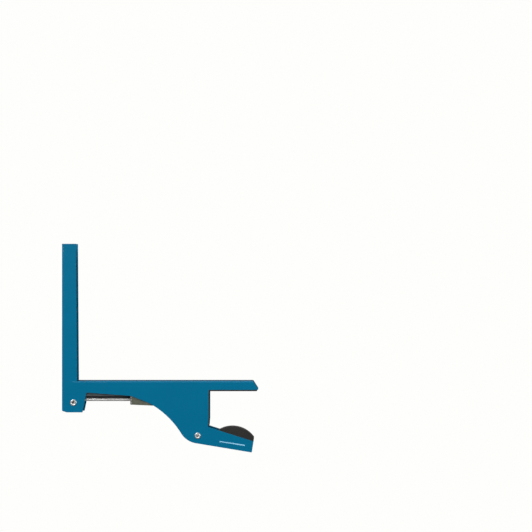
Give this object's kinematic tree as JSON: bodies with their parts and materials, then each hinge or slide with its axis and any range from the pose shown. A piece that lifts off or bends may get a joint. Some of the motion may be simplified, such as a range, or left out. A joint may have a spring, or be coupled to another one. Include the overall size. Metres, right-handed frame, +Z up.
{
  "type": "table tennis net clamp",
  "caption": "Squeeze-handle spring clamp with a tall channel post: the rubber-faced jaw grips a table's edge and the post holds a net upright outside it.",
  "frame": {"origin": "the corner of the throat, where the playing surface (z = 0) meets the table's edge (x = 0), in the middle of the clamp's width", "axes": "+X towards the table, +Z up along the post, Y across the clamp"},
  "size_m": [0.2032, 0.0243, 0.2158],
  "materials": {
    "blue_paint": "smooth satin stove enamel on sheet steel",
    "zinc_steel": "dull zinc plate",
    "nickel_steel": "bright nickel plate",
    "dark_steel": "dark chemically blackened steel, slightly worn",
    "spring_steel": "oiled spring wire",
    "black_rubber": "moulded dark rubber",
    "light_enamel": "light enamel filled flush",
    "nylon": "natural nylon"
  },
  "bodies": {
    "clamp": {"clamp_body": "blue_paint", "throat_plate": "blue_paint", "jaw_liner": "black_rubber", "net_post": "blue_paint", "post_rivet": "nickel_steel", "post_spacer": "zinc_steel", "pivot_rivet": "nickel_steel", "pivot_bush": "zinc_steel", "pivot_washers": "nylon", "clamp_spring": "spring_steel", "spring_stud": "zinc_steel", "index_line": "light_enamel"},
    "lever": {"clamp_lever": "zinc_steel", "tail_end_plate": "nickel_steel", "handle_bracket": "dark_steel", "handle_rod": "nickel_steel", "rod_nut": "zinc_steel", "rubber_pad": "black_rubber", "pad_core_plate": "zinc_steel", "pad_rivets": "nickel_steel", "spring_seat": "zinc_steel"}
  },
  "joints": [
    {"name": "lever_pivot", "type": "hinge", "parent": "clamp", "child": "lever", "pos_m": [-0.0124, 0, -0.046], "axis": [0, 1, 0], "range_deg": [0, 5], "stiffness_Nm_per_rad": 32, "springref_deg": -8.25, "deforming": ["clamp_spring"]}
  ]
}
